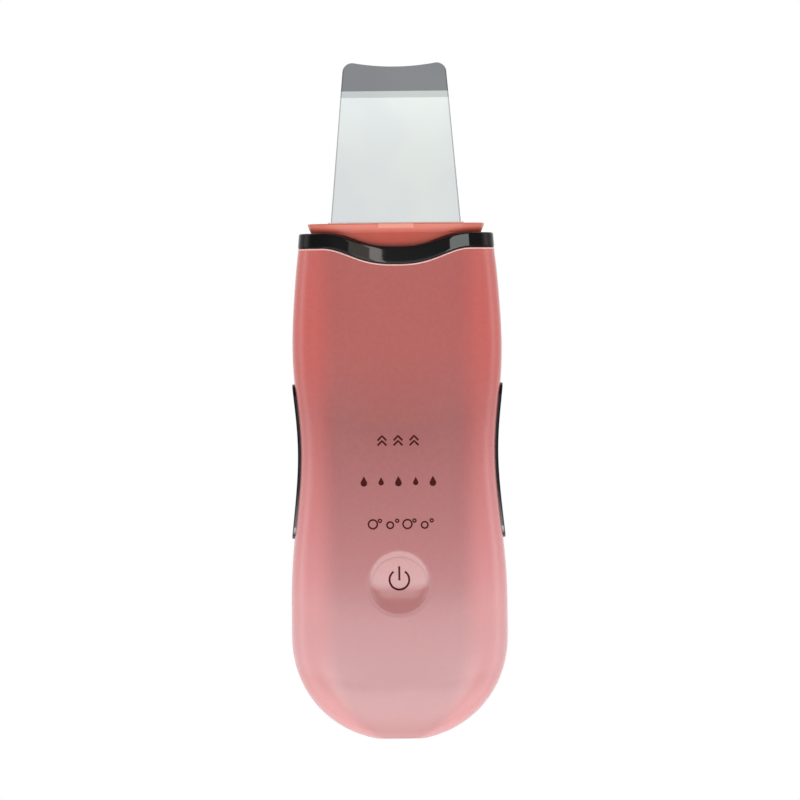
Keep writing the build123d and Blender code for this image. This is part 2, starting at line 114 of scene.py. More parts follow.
def half_depth(z):
    if z >= DEPTH_END_L:
        return depth_curve(z)
    return DEPTH_STATIONS[0][1] * end_factor(z, DEPTH_END_L, DEPTH_END_SHIFT, DEPTH_END_P)


def skin_value(x, y, z):
    """Zero on the moulded skin, negative inside it."""
    return (abs(x) / half_width(z)) ** POWER + (abs(y) / half_depth(z)) ** POWER - 1.0


def skin_normal(x, y, z):
    probe = 0.02
    a, b = half_width(z), half_depth(z)
    gx = math.copysign(POWER / a * (abs(x) / a) ** (POWER - 1.0), x)
    gy = math.copysign(POWER / b * (abs(y) / b) ** (POWER - 1.0), y)
    low = max(0.0, z - probe)
    high = z + probe
    gz = (skin_value(x, y, high) - skin_value(x, y, low)) / (high - low)
    return Vector((gx, gy, gz)).normalized()


def front_y(x, z):
    """Where the front face lies at x, z."""
    t = min(1.0, abs(x) / half_width(z))
    return -half_depth(z) * (1.0 - t ** POWER) ** (1.0 / POWER)


DISH_SPHERE_R = (DISH_R ** 2 + DISH_DEPTH ** 2) / (2.0 * DISH_DEPTH)
DISH_CENTRE = Vector((0.0, -half_depth(BUTTON_Z) + DISH_DEPTH - DISH_SPHERE_R, BUTTON_Z + DISH_RISE))


def dish_y(x, z):
    """Where the dished surface round the button lies at x, z."""
    r2 = x * x + (z - DISH_CENTRE.z) ** 2
    return DISH_CENTRE.y + math.sqrt(DISH_SPHERE_R ** 2 - r2)


def dip(x):
    """The wave on the band: one at the middle, zero at its ends."""
    u = min(1.0, abs(x) / DIP_HALF_W)
    return 0.5 * (1.0 + math.cos(math.pi * u ** DIP_POWER))


def wave_low(x):
    """Height of the band's lower edge."""
    return RIM_Z - BAND_H - BAND_DIP * dip(x)


def wave_high(x):
    """Height of the band's upper edge."""
    return RIM_Z - (BAND_DIP - (BAND_H_MID - BAND_H)) * dip(x)


# ---------------------------------------------------------------------------------------------
# Small shader language
# ---------------------------------------------------------------------------------------------
class Net:
    """A node tree with short calls for the nodes used here."""

    def __init__(self, tree):
        self.t = tree
        self.n = tree.nodes
        self.n.clear()

    def add(self, kind, **values):
        node = self.n.new(kind)
        for key, v in values.items():
            setattr(node, key, v)
        return node

    def put(self, socket, v):
        """Links the socket to v if v is a node's output, else sets the socket to v."""
        if isinstance(v, bpy.types.NodeSocket):
            self.t.links.new(v, socket)
        else:
            socket.default_value = v

    def math(self, op, a, b=0.0, clamp=False):
        node = self.add("ShaderNodeMath", operation=op, use_clamp=clamp)
        self.put(node.inputs[0], a)
        self.put(node.inputs[1], b)
        return node.outputs[0]

    def plus(self, a, b):
        return self.math("ADD", a, b)

    def minus(self, a, b):
        return self.math("SUBTRACT", a, b)

    def times(self, a, b):
        return self.math("MULTIPLY", a, b)

    def ramp(self, fac, stops):
        node = self.add("ShaderNodeValToRGB")
        items = node.color_ramp.elements
        items[0].position, items[0].color = stops[0][0], stops[0][1]
        items[1].position, items[1].color = stops[-1][0], stops[-1][1]
        for pos, col in stops[1:-1]:
            items.new(pos).color = col
        self.put(node.inputs[0], fac)
        return node.outputs[0]

    def span(self, value, low, high, to_low=0.0, to_high=1.0, kind="LINEAR"):
        """Maps low..high to to_low..to_high and holds the ends beyond them."""
        node = self.add("ShaderNodeMapRange", interpolation_type=kind)
        for socket, v in zip(node.inputs, (value, low, high, to_low, to_high)):
            self.put(socket, v)
        return node.outputs[0]

    def step(self, value, low, high):
        """Rises smoothly from zero at low to one at high."""
        return self.span(value, low, high, kind="SMOOTHSTEP")

    def fall(self, value, low, high):
        """Falls smoothly from one at low to zero at high."""
        return self.minus(1.0, self.step(value, low, high))

    def mix(self, fac, a, b, blend="MIX"):
        node = self.add("ShaderNodeMix", data_type="RGBA", blend_type=blend)
        self.put(node.inputs[0], fac)
        self.put(node.inputs[6], a)
        self.put(node.inputs[7], b)
        return node.outputs[2]

    def place(self):
        return self.add("ShaderNodeTexCoord").outputs["Object"]

    def xyz(self, vector):
        node = self.add("ShaderNodeSeparateXYZ")
        self.put(node.inputs[0], vector)
        return node.outputs

    def join(self, x, y, z=0.0):
        node = self.add("ShaderNodeCombineXYZ")
        for socket, v in zip(node.inputs, (x, y, z)):
            self.put(socket, v)
        return node.outputs[0]

    def scaled(self, vector, scale):
        node = self.add("ShaderNodeMapping")
        self.put(node.inputs[0], vector)
        node.inputs[3].default_value = scale
        return node.outputs[0]

    def noise(self, vector, scale, detail=3.0, rough=0.5):
        node = self.add("ShaderNodeTexNoise")
        self.put(node.inputs["Vector"], vector)
        node.inputs["Scale"].default_value = scale
        node.inputs["Detail"].default_value = detail
        node.inputs["Roughness"].default_value = rough
        return node.outputs["Fac"]

    def spread(self, noise, to_low, to_high):
        """Maps a noise's usual range to to_low..to_high."""
        return self.span(noise, NOISE_LOW, NOISE_HIGH, to_low, to_high)

    def mottled(self, noise, color, color2):
        """One colour or the other by a noise."""
        return self.mix(self.step(noise, NOISE_LOW, NOISE_HIGH), color, color2)

    def bump(self, height, strength, distance, normal=None):
        node = self.add("ShaderNodeBump")
        node.inputs["Strength"].default_value = strength
        node.inputs["Distance"].default_value = distance
        self.put(node.inputs["Height"], height)
        if normal is not None:
            self.put(node.inputs["Normal"], normal)
        return node.outputs[0]


NOISE_LOW, NOISE_HIGH = 0.3, 0.7
COARSE_GRAIN, FINE_GRAIN, POLISHED_GRAIN = 0.00004, 0.00003, 0.00002        # depths in metres


def rgb(r, g, b):
    """Linear colour with alpha from sRGB bytes."""
    def lin(c):
        c = c / 255.0
        return c / 12.92 if c <= 0.04045 else ((c + 0.055) / 1.055) ** 2.4
    return (lin(r), lin(g), lin(b), 1.0)


def material(name, build):
    mat = bpy.data.materials.new(name)
    mat.use_nodes = True
    net = Net(mat.node_tree)
    out = net.add("ShaderNodeOutputMaterial")
    shader = net.add("ShaderNodeBsdfPrincipled")
    net.put(out.inputs[0], shader.outputs[0])
    build(net, shader)
    return mat


def soft_plastic(color, color2, roughness, grain, mottle, bump=0.05, coat=0.0, scatter=0.0, shine=0.5):
    """A moulded plastic: faint mottling in colour and roughness over a fine grain."""
    def build(net, s):
        p = net.place()
        big = net.noise(p, mottle, 4.0)
        fine = net.noise(p, grain, 3.0, 0.6)
        net.put(s.inputs["Base Color"], net.mottled(big, color, color2))
        net.put(s.inputs["Roughness"], net.spread(fine, roughness * 0.85, roughness * 1.2))
        net.put(s.inputs["Normal"], net.bump(fine, bump, COARSE_GRAIN))
        s.inputs["Specular IOR Level"].default_value = shine
        s.inputs["Coat Weight"].default_value = coat
        s.inputs["Coat Roughness"].default_value = 0.06
        s.inputs["Subsurface Weight"].default_value = scatter
        s.inputs["Subsurface Scale"].default_value = 0.002
    return build


def metal(color, color2, roughness, grain, stretch, bump=0.08):
    """A metal whose grain runs along the axis with the small stretch value."""
    def build(net, s):
        lines = net.noise(net.scaled(net.place(), stretch), grain, 3.0, 0.6)
        cloud = net.noise(net.place(), 90.0, 3.0)
        s.inputs["Metallic"].default_value = 1.0
        net.put(s.inputs["Base Color"], net.mottled(cloud, color, color2))
        net.put(s.inputs["Roughness"], net.spread(lines, roughness * 0.75, roughness * 1.3))
        net.put(s.inputs["Normal"], net.bump(lines, bump, FINE_GRAIN))
    return build


# ---------------------------------------------------------------------------------------------
# The shells and the button
# ---------------------------------------------------------------------------------------------
# Each row: height in mm, red at the middle of the face, red at the rounded sides, then green and blue as
# shares of the red. The run along the height is partly the shell's own coral-to-pink gradient and partly a
# painted reflection of the bright surroundings below; the darker, greyer middle is painted shade and the
# paler sides are painted light.
SHELL_TINTS_AND_PAINTED_LIGHT = [
    (0.0, 0.63, 0.78, 0.50, 0.505),
    (10.5, 0.580, 0.75, 0.512, 0.522),
    (13.3, 0.645, 0.775, 0.538, 0.552),
    (19.0, 0.635, 0.78, 0.53, 0.54),
    (29.0, 0.61, 0.79, 0.50, 0.51),
    (36.0, 0.56, 0.77, 0.45, 0.46),
    (47.0, 0.53, 0.73, 0.40, 0.405),
    (59.0, 0.47, 0.67, 0.37, 0.365),
    (71.0, 0.415, 0.59, 0.335, 0.325),
    (77.0, 0.385, 0.555, 0.315, 0.30),
    (86.0, 0.425, 0.59, 0.27, 0.25),
    (96.0, 0.465, 0.62, 0.245, 0.22),
    (110.0, 0.475, 0.62, 0.25, 0.225),
    (126.0, 0.475, 0.615, 0.27, 0.245),
]
TINT_TOP_Z = SHELL_TINTS_AND_PAINTED_LIGHT[-1][0]
SIDE_LIGHT_DEPTH = 0.95          # scales the green and blue shares at the rounded sides, whose paler colour is painted light
SIDE_LIGHT_SPAN = (0.55, 0.82)   # where the middle's painted shade gives way to the sides' painted light, as shares of the half width
FACE_HALF_W = 26.0
END_LEAST = 0.25            # keeps the half width from running to zero at the lower end
REAR_SHARE = 0.6            # how far the rear takes the sides' colour, painted light, all over
REFLECTION_SMILE = 0.006               # how far the colours rise towards the sides, in metres: a painted reflection whose edge curves up there
SWAY = 0.002                # how far they waver, in metres
# the colour inside the dish is multiplied by this, darker and redder: painted shade in the hollow
DISH_SHADE_TINT = (0.88, 0.735, 0.705, 1.0)
FACE_SHINE, DISH_SHINE = 0.5, 0.98

FRONT_Y = -0.005            # the front face's skin lies in front of this, in metres
DISH_LEAN = 0.115           # how far the dish's shading leans down at its middle, as a slope
DISH_MELT = (6.2, 8.5)      # radii over which the dish's shading melts into the skin's
DISH_EDGE = (7.9, 8.7)      # radii over which the formula gives way to the mesh's own normals
SKIN_LEVEL_Z = 34.0         # where the front face stands upright
SKIN_TURN = 3.0             # how fast the face turns up above that height, slope per metre


def dish_shading(net, x, y, z):
    """A mask of the dish on the front, and the normals of a dish whose rim melts into the skin."""
    away = net.minus(z, DISH_CENTRE.z * MM)
    radius = net.math("SQRT", net.plus(net.times(x, x), net.times(away, away)))
    in_front = net.math("LESS_THAN", y, FRONT_Y)
    share = net.math("DIVIDE", radius, DISH_R * MM)
    inside = net.math("SUBTRACT", 1.0, net.math("POWER", share, 8.0), clamp=True)
    inside = net.times(inside, in_front)
    bowl = net.fall(radius, DISH_MELT[0] * MM, DISH_MELT[1] * MM)
    pull = net.math("DIVIDE", bowl, -DISH_SPHERE_R * MM)
    skin = net.times(net.minus(z, SKIN_LEVEL_Z * MM), SKIN_TURN)
    nz = net.plus(net.times(away, pull), net.times(inside, -DISH_LEAN))
    nz = net.plus(nz, net.times(skin, net.minus(1.0, bowl)))
    formula = net.join(net.times(x, pull), -1.0, nz)
    mesh = net.add("ShaderNodeNewGeometry").outputs["Normal"]
    faces_front = net.math("LESS_THAN", net.xyz(mesh)[1], -0.5)
    near = net.fall(radius, DISH_EDGE[0] * MM, DISH_EDGE[1] * MM)
    mask = net.times(net.times(in_front, faces_front), near)
    both = net.add("ShaderNodeMix", data_type="VECTOR")
    net.put(both.inputs[0], mask)
    net.put(both.inputs[4], mesh)
    net.put(both.inputs[5], formula)
    unit = net.add("ShaderNodeVectorMath", operation="NORMALIZE")
    net.put(unit.inputs[0], both.outputs[1])
    return inside, unit.outputs[0]


def tint_stops(column, depth):
    """Ramp stops from one red column of SHELL_TINTS_AND_PAINTED_LIGHT, with green and blue scaled by depth."""
    stops = []
    for row in SHELL_TINTS_AND_PAINTED_LIGHT:
        red, green, blue = row[column], row[3] * depth, row[4] * depth
        stops.append((row[0] / TINT_TOP_Z, (red, red * green, red * blue, 1.0)))
    return stops


def pink_skin(rough_low, rough_high):
    """Coral at the neck, running to pale pink at the lower end, partly the shell's own gradient and partly a
    painted reflection of the bright surroundings below. The middle of the face is painted darker and greyer
    than the rounded sides: painted shade on the middle and painted light on the sides."""
    def build(net, s):
        p = net.place()
        x, y, z = net.xyz(p)
        unopened = net.minus(1.0, net.span(z, -END_SHIFT * MM, END_L * MM))
        end = net.math("POWER", net.minus(1.0, net.math("POWER", unopened, END_P)), 1.0 / END_P)
        width = net.times(net.math("MAXIMUM", end, END_LEAST), FACE_HALF_W * MM)
        side = net.math("ABSOLUTE", net.math("DIVIDE", x, width))
        fine = net.noise(p, 1400.0, 3.0, 0.6)
        sway = net.times(net.minus(net.noise(p, 60.0, 3.0), 0.5), SWAY)
        # painted reflection: the edge of the bright reflection from below rises towards the sides
        reflection_smile = net.times(net.times(side, side), REFLECTION_SMILE)
        t = net.math("DIVIDE", net.minus(net.plus(z, sway), reflection_smile), TINT_TOP_Z * MM)
        # the middle's ramp carries painted shade and the sides' ramp painted light
        middle = net.ramp(t, tint_stops(1, 1.0))
        flank = net.ramp(t, tint_stops(2, SIDE_LIGHT_DEPTH))
        behind = net.times(net.step(y, 0.0, 0.005), REAR_SHARE)
        tint = net.mix(net.math("MAXIMUM", net.step(side, *SIDE_LIGHT_SPAN), behind), middle, flank)
        speck = net.step(net.noise(p, 900.0, 2.0), 0.35, 0.65)
        tint = net.mix(net.times(speck, 0.012), tint, (1.0, 0.80, 0.78, 1.0))
        inside, normal = dish_shading(net, x, y, z)
        dished = net.step(inside, 0.0, 0.35)
        # painted shade: the dish is darkened and reddened
        tint = net.mix(dished, tint, net.mix(1.0, tint, DISH_SHADE_TINT, "MULTIPLY"))
        net.put(s.inputs["Base Color"], tint)
        net.put(s.inputs["Roughness"], net.spread(fine, rough_low, rough_high))
        net.put(s.inputs["Normal"], net.bump(fine, 0.018, FINE_GRAIN, normal))
        net.put(s.inputs["Specular IOR Level"], net.span(dished, 0.0, 1.0, FACE_SHINE, DISH_SHINE))
        s.inputs["Subsurface Weight"].default_value = 0.12
        s.inputs["Subsurface Scale"].default_value = 0.003
        s.inputs["Subsurface Radius"].default_value = (1.0, 0.35, 0.25)
    return build


# ---------------------------------------------------------------------------------------------
# The other pieces with a look of their own
# ---------------------------------------------------------------------------------------------
def collar_build(net, s):
    """Coral, with the lip painted paler and its snap tab paler still: both are painted highlights."""
    p = net.place()
    x, y, z = net.xyz(p)
    coral = net.mottled(net.noise(p, 80.0, 4.0), rgb(199, 90, 74), rgb(194, 85, 70))
    fine = net.noise(p, 1500.0, 3.0, 0.6)
    lip_highlight = net.step(z, (LIP_Z - 1.2) * MM, (LIP_Z + 0.4) * MM)
    proud = net.math("LESS_THAN", y, -(LIP_HALF_D + 0.1) * MM)
    narrow = net.math("LESS_THAN", net.math("ABSOLUTE", x), (SNAP_W / 2.0 + 0.2) * MM)
    tab_highlight = net.times(net.times(proud, narrow), lip_highlight)
    # painted highlight: the paler colour on the lip
    tint = net.mix(lip_highlight, coral, rgb(226, 126, 107))
    # painted highlight: the still paler colour on the snap tab
    net.put(s.inputs["Base Color"], net.mix(tab_highlight, tint, rgb(238, 156, 136)))
    net.put(s.inputs["Roughness"], net.spread(fine, 0.19, 0.26))
    net.put(s.inputs["Normal"], net.bump(fine, 0.04, COARSE_GRAIN))
    s.inputs["Specular IOR Level"].default_value = 0.3
    s.inputs["Subsurface Weight"].default_value = 0.1
    s.inputs["Subsurface Scale"].default_value = 0.002


BLADE_EDGE = (0.08, 0.42)   # the painted line along each edge, in mm in from it
BLADE_EDGE_SHARE = 0.75


def blade_build(net, s):
    """Near-mirror stainless sheet with a faint lengthwise brushing. A darker line is painted along each edge,
    in place of what an eased edge mirrors."""
    p = net.place()
    x, _, z = net.xyz(p)
    brush = net.noise(net.scaled(p, (1.0, 1.0, 0.025)), 5200.0, 3.0, 0.6)
    speck = net.noise(p, 2600.0, 2.0, 0.7)
    cloud = net.noise(p, 45.0, 2.0)
    steel = net.mix(net.step(cloud, 0.35, 0.65), (0.665, 0.70, 0.68, 1), (0.63, 0.655, 0.67, 1))
    half = net.span(z, BLADE_ROOT_Z * MM, BLADE_TOP_Z * MM,
                    BLADE_ROOT_HALF_W * MM, BLADE_TOP_HALF_W * MM)
    inward = net.minus(half, net.math("ABSOLUTE", x))
    edge = net.fall(inward, BLADE_EDGE[0] * MM, BLADE_EDGE[1] * MM)
    steel = net.mix(net.times(edge, BLADE_EDGE_SHARE), steel, (0.20, 0.21, 0.215, 1))
    grain = net.plus(net.times(brush, 0.7), net.times(speck, 0.3))
    s.inputs["Metallic"].default_value = 1.0
    net.put(s.inputs["Base Color"], net.mix(net.times(speck, 0.10), steel, (0.45, 0.46, 0.46, 1)))
    net.put(s.inputs["Roughness"], net.spread(grain, 0.08, 0.12))
    net.put(s.inputs["Normal"], net.bump(grain, 0.02, POLISHED_GRAIN))


STRIP_PALE_Z = (50.0, 64.0)


def strip_build(net, s):
    """Dark chrome, polished. The lower end is painted paler, in place of a reflection."""
    p = net.place()
    fine = net.noise(net.scaled(p, (1, 1, 0.1)), 1800.0, 2.0)
    dark = net.mix(net.noise(p, 120.0, 3.0), (0.020, 0.019, 0.020, 1), (0.030, 0.029, 0.031, 1))
    pale = net.fall(net.xyz(p)[2], STRIP_PALE_Z[0] * MM, STRIP_PALE_Z[1] * MM)
    s.inputs["Metallic"].default_value = 1.0
    net.put(s.inputs["Base Color"], net.mix(pale, dark, (0.15, 0.148, 0.152, 1)))
    net.put(s.inputs["Roughness"], net.spread(fine, 0.10, 0.15))
    net.put(s.inputs["Normal"], net.bump(fine, 0.03, POLISHED_GRAIN))


def ink_build(net, s):
    """Dark maroon printing ink."""
    fine = net.noise(net.place(), 2500.0, 3.0)
    net.put(s.inputs["Base Color"], net.mix(fine, rgb(66, 12, 12), rgb(78, 18, 16)))
    net.put(s.inputs["Roughness"], net.spread(fine, 0.3, 0.42))
    s.inputs["Specular IOR Level"].default_value = 0.12


def board_build(net, s):
    """Green solder mask with copper tracks showing through as lighter lines."""
    p = net.place()
    x, _, z = net.xyz(p)
    tracks = net.add("ShaderNodeTexBrick", offset=0.35, squash=1.6, squash_frequency=3)
    net.put(tracks.inputs["Vector"], net.join(x, z))
    tracks.inputs["Color1"].default_value = (0.010, 0.095, 0.045, 1)
    tracks.inputs["Color2"].default_value = (0.013, 0.120, 0.055, 1)
    tracks.inputs["Mortar"].default_value = (0.030, 0.22, 0.10, 1)
    tracks.inputs["Scale"].default_value = 260.0
    tracks.inputs["Mortar Size"].default_value = 0.035
    cloud = net.noise(p, 150.0, 3.0)
    mask = net.mix(net.times(cloud, 0.35), tracks.outputs["Color"], (0.008, 0.06, 0.03, 1))
    net.put(s.inputs["Base Color"], mask)
    net.put(s.inputs["Roughness"], net.spread(cloud, 0.28, 0.4))
    net.put(s.inputs["Normal"], net.bump(tracks.outputs["Fac"], 0.3, COARSE_GRAIN))


LEAD_LEAN_Z = (33.0, 42.5)      # the line between the two leads' colours leans over between these heights,
LEAD_LEAN_X = (7.0, 0.0)        # from the first of these places to the second


def lead_build(net, s):
    """Two-colour leads: red to the left of a leaning line and black to the right of it."""
    p = net.place()
    x, _, z = net.xyz(p)
    line = net.span(z, *(v * MM for v in LEAD_LEAN_Z + LEAD_LEAN_X))
    side = net.span(net.minus(x, line), -0.1 * MM, 0.1 * MM)
    fine = net.noise(p, 1500.0, 3.0)
    pair = net.mix(side, rgb(168, 28, 24), rgb(24, 24, 26))
    net.put(s.inputs["Base Color"], net.mix(net.times(fine, 0.2), pair, rgb(90, 60, 58)))
    net.put(s.inputs["Roughness"], net.spread(fine, 0.4, 0.5))
    net.put(s.inputs["Normal"], net.bump(fine, 0.1, COARSE_GRAIN))


# ---------------------------------------------------------------------------------------------
# Materials by slot. Plastics give two colours, roughness, grain and mottle scales (per metre) and bump.
# Metals give two colours, roughness, grain, the grain's stretch along x, y, z and bump.
# ---------------------------------------------------------------------------------------------
BUILDS = {
    "shell_pink": pink_skin(0.14, 0.19),
    "button_pink": pink_skin(0.07, 0.10),
    # the bead's pale pink is a painted highlight on the real bead at the shell's rim
    "rim_highlight_pink": soft_plastic(rgb(250, 196, 190), rgb(246, 186, 180), 0.16, 1500.0, 90.0, 0.03, scatter=0.1),
    "collar_coral": collar_build,
    "band_black": soft_plastic((0.0040, 0.0038, 0.0042, 1), (0.0070, 0.0062, 0.0066, 1), 0.03, 1800.0, 40.0,
                               0.008, shine=0.20),
    "seal_silicone": soft_plastic(rgb(240, 226, 222), rgb(232, 216, 212), 0.35, 900.0, 120.0, 0.08,
                                  scatter=0.3),
    "blade_steel": blade_build,
    "strip_dark_chrome": strip_build,
    "legend_ink": ink_build,
    "board_green": board_build,
    "lead_red_black": lead_build,
    "switch_black": soft_plastic((0.018, 0.018, 0.018, 1), (0.03, 0.03, 0.03, 1), 0.45, 1200.0, 200.0, 0.2),
    "stem_white": soft_plastic(rgb(232, 230, 222), rgb(222, 220, 210), 0.4, 900.0, 200.0, 0.1),
    "led_clear": soft_plastic(rgb(250, 246, 226), rgb(244, 236, 205), 0.15, 700.0, 300.0, coat=0.5),
    "baffle_white": soft_plastic(rgb(240, 240, 238), rgb(232, 232, 230), 0.5, 900.0, 120.0, 0.12),
    "tongue_black": soft_plastic((0.012, 0.012, 0.013, 1), (0.02, 0.02, 0.021, 1), 0.5, 1400.0, 300.0, 0.15),
    "pad_foam": soft_plastic((0.02, 0.02, 0.02, 1), (0.05, 0.05, 0.05, 1), 0.9, 1600.0, 500.0, 0.8),
    "connector_white": soft_plastic(rgb(236, 230, 214), rgb(226, 218, 200), 0.45, 900.0, 250.0, 0.12),
    "ferrite": soft_plastic((0.030, 0.030, 0.034, 1), (0.055, 0.055, 0.06, 1), 0.6, 1100.0, 500.0, 0.4),
    "chip_black": soft_plastic((0.014, 0.014, 0.016, 1), (0.024, 0.024, 0.026, 1), 0.5, 1500.0, 400.0, 0.25),
    "piezo_ceramic": soft_plastic(rgb(214, 206, 186), rgb(198, 190, 170), 0.4, 1200.0, 160.0, 0.2),
    "pad_silicone": soft_plastic(rgb(150, 150, 155), rgb(134, 134, 140), 0.6, 900.0, 160.0, 0.2),
    "carrier_nylon": soft_plastic(rgb(214, 214, 208), rgb(202, 202, 196), 0.5, 1000.0, 120.0, 0.2),
    "spring_brass": metal(rgb(214, 178, 104), rgb(196, 158, 88), 0.28, 900.0, (0.2, 1, 1)),
    "port_steel": metal(rgb(205, 206, 210), rgb(186, 188, 194), 0.25, 900.0, (1, 1, 0.15)),
    "cell_foil": metal(rgb(178, 182, 186), rgb(160, 164, 170), 0.38, 160.0, (1, 1, 0.6), 0.35),
    "copper_winding": metal(rgb(205, 118, 66), rgb(180, 92, 48), 0.3, 1300.0, (1, 1, 1), 0.3),
    "cap_can": metal(rgb(204, 206, 210), rgb(186, 190, 196), 0.3, 700.0, (1, 0.2, 1)),
    "block_metal": metal(rgb(190, 192, 196), rgb(172, 174, 180), 0.33, 500.0, (0.15, 1, 1), 0.2),
    "screw_steel": metal(rgb(186, 188, 192), rgb(160, 162, 168), 0.3, 900.0, (1, 0.2, 1), 0.2),
}
mats = {name: material(name, build) for name, build in BUILDS.items()}

for part in frame["record"]["subparts"]:
    slots = nodes[part["node"]].data.materials
    slots.clear()
    slots.append(mats[part["material_slot"]])

# ---------------------------------------------------------------------------------------------
# True surface normals on the moulded skin, so that reflections run smoothly over the CAD's own mesh
# ---------------------------------------------------------------------------------------------
SKIN_Z = (0.02, 127.9)      # the skin is looked for between these heights
SKIN_SLACK = 0.02           # how far from zero skin_value may be on it
DISH_MARGIN = 0.9           # left alone round the dish
FACE_AGREES = 0.85          # least cosine between a face and the skin's normals at its corners
CORNER_AGREES = math.cos(4.0 * DEG)


def true_normals(obj, on_skin, normal_at):
    mesh = obj.data
    kept = [Vector(c.vector) for c in mesh.corner_normals]
    skin = {}
    for v in mesh.vertices:
        x, y, z = (c / MM for c in v.co)
        if on_skin(x, y, z):
            skin[v.index] = normal_at(x, y, z)
    for poly in mesh.polygons:
        if not all(mesh.loops[i].vertex_index in skin for i in poly.loop_indices):
            continue
        mean = sum((skin[mesh.loops[i].vertex_index] for i in poly.loop_indices), Vector())
        if poly.normal.dot(mean.normalized()) < FACE_AGREES:
            continue
        for i in poly.loop_indices:
            true = skin[mesh.loops[i].vertex_index]
            if kept[i].dot(true) > CORNER_AGREES:
                kept[i] = true
    for poly in mesh.polygons:
        poly.use_smooth = True
    mesh.normals_split_custom_set([tuple(n) for n in kept])


def near_skin(x, y, z):
    if not SKIN_Z[0] <= z <= SKIN_Z[1]:
        return False
    if math.hypot(x, z - BUTTON_Z) < DISH_R + DISH_MARGIN:
        return False
    return abs(skin_value(x, y, z)) < SKIN_SLACK


for name in ("front_shell", "rear_shell"):
    true_normals(nodes[name], near_skin, skin_normal)


# ---------------------------------------------------------------------------------------------
# Pieces made here from vertices and faces
# ---------------------------------------------------------------------------------------------
def new_object(name, verts, faces, mat, smooth=False):
    mesh = bpy.data.meshes.new(name)
    mesh.from_pydata(verts, [], faces)
    if smooth:
        mesh.polygons.foreach_set("use_smooth", [True] * len(faces))
    mesh.update()
    mesh.materials.append(mats[mat])
    obj = bpy.data.objects.new(name, mesh)
    bpy.context.scene.collection.objects.link(obj)
    return obj


# ---------------------------------------------------------------------------------------------
# Rings round the neck: the trim band with rounded edges, and the bead on the shell's rim under it
# ---------------------------------------------------------------------------------------------
RING_COLUMNS = 480
BAND_HALF_W = 24.5          # the wave's x is measured over this half width
NECK_GAP = 0.08             # between the neck and the band's inner wall
BAND_WALL = 1.2
BAND_ROUND = 0.42           # radius of the band's outer corners
BAND_LAND = 0.08            # flat left on the band's ends beyond the corners
BEAD_R, BEAD_IN = 0.21, 0.14
BEAD_BELOW_BAND = 0.24
NECK = None                 # an inset of NECK puts a point on the neck


def ring_mesh(name, profile, mat, body):
    """A closed profile carried round the body. profile(x) gives (inset, z) pairs for that x."""
    verts, faces = [], []
    for i in range(RING_COLUMNS):
        t = 2.0 * math.pi * (i + 0.5) / RING_COLUMNS
        c, s = math.cos(t), math.sin(t)
        r = (abs(c) ** POWER + abs(s) ** POWER) ** (-1.0 / POWER)
        ux, uy = c * r, s * r
        points = profile(BAND_HALF_W * ux)
        for inset, z in points:
            if inset is NECK:
                a, b = NECK_HALF_W + NECK_GAP, NECK_HALF_D + NECK_GAP
            else:
                a, b = half_width(z) - inset, half_depth(z) - inset
            verts.append((a * ux * MM, b * uy * MM, z * MM))
    rows = len(points)
    for i in range(RING_COLUMNS):
        j = (i + 1) % RING_COLUMNS
        for k in range(rows):
            m = (k + 1) % rows
            faces.append((i * rows + k, j * rows + k, j * rows + m, i * rows + m))
    obj = new_object(name, verts, faces, mat, smooth=True)
    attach(obj, body)
    return obj


def band_profile(x):
    """Band section with rounded outer corners."""
    low, high = wave_low(x), wave_high(x)
    r = BAND_ROUND
    turns = [90.0 * DEG * k / 6 for k in range(7)]
    tall = high - low - 2.0 * r
    pts = [(NECK, low), (BAND_WALL, low), (r + BAND_LAND, low)]
    pts += [(r * (1.0 - math.sin(a)), low + r * (1.0 - math.cos(a))) for a in turns]
    pts += [(0.0, low + r + tall * k / 8) for k in range(1, 8)]
    pts += [(r * (1.0 - math.cos(a)), high - r * (1.0 - math.sin(a))) for a in turns]
    pts += [(r + BAND_LAND, high), (BAND_WALL, high), (NECK, high)]
    return pts


def bead_profile(x):
    middle = wave_low(x) - BEAD_BELOW_BAND
    turns = [a * DEG for a in range(-180, 180, 20)]
    return [(BEAD_IN - BEAD_R * math.cos(a), middle + BEAD_R * math.sin(a)) for a in turns]


band = ring_mesh("trim_band_round", band_profile, "band_black", "housing")
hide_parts("trim_band")
# the bead is coloured pale as a painted highlight along the shell's rim
ring_mesh("shell_rim_bead", bead_profile, "rim_highlight_pink", "housing")

# ---------------------------------------------------------------------------------------------
# The soft web that closes the button's seam
# ---------------------------------------------------------------------------------------------
WEB_COLUMNS = 120
WEB_IN, WEB_OUT = BUTTON_R - 0.1, BUTTON_R + BUTTON_GAP - 0.01
WEB_TOP, WEB_BOTTOM = 0.08, 0.30        # depths under the dished surface


def web_ring():
    """A web in the button's colour just under the dished surface."""
    rings = [(WEB_IN, WEB_TOP), (WEB_IN, WEB_BOTTOM), (WEB_OUT, WEB_BOTTOM), (WEB_OUT, WEB_TOP)]
    verts, faces = [], []
    for i in range(WEB_COLUMNS):
        t = 2.0 * math.pi * i / WEB_COLUMNS
        for r, deep in rings:
            x, z = r * math.sin(t), BUTTON_Z + r * math.cos(t)
            verts.append((x * MM, (dish_y(x, z) + deep) * MM, z * MM))
    n = len(rings)
    for i in range(WEB_COLUMNS):
        a, b = i * n, ((i + 1) % WEB_COLUMNS) * n
        for k in range(n):
            m = (k + 1) % n
            faces.append((a + k, a + m, b + m, b + k))
    obj = new_object("button_web", verts, faces, "button_pink")
    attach(obj, "button")


web_ring()

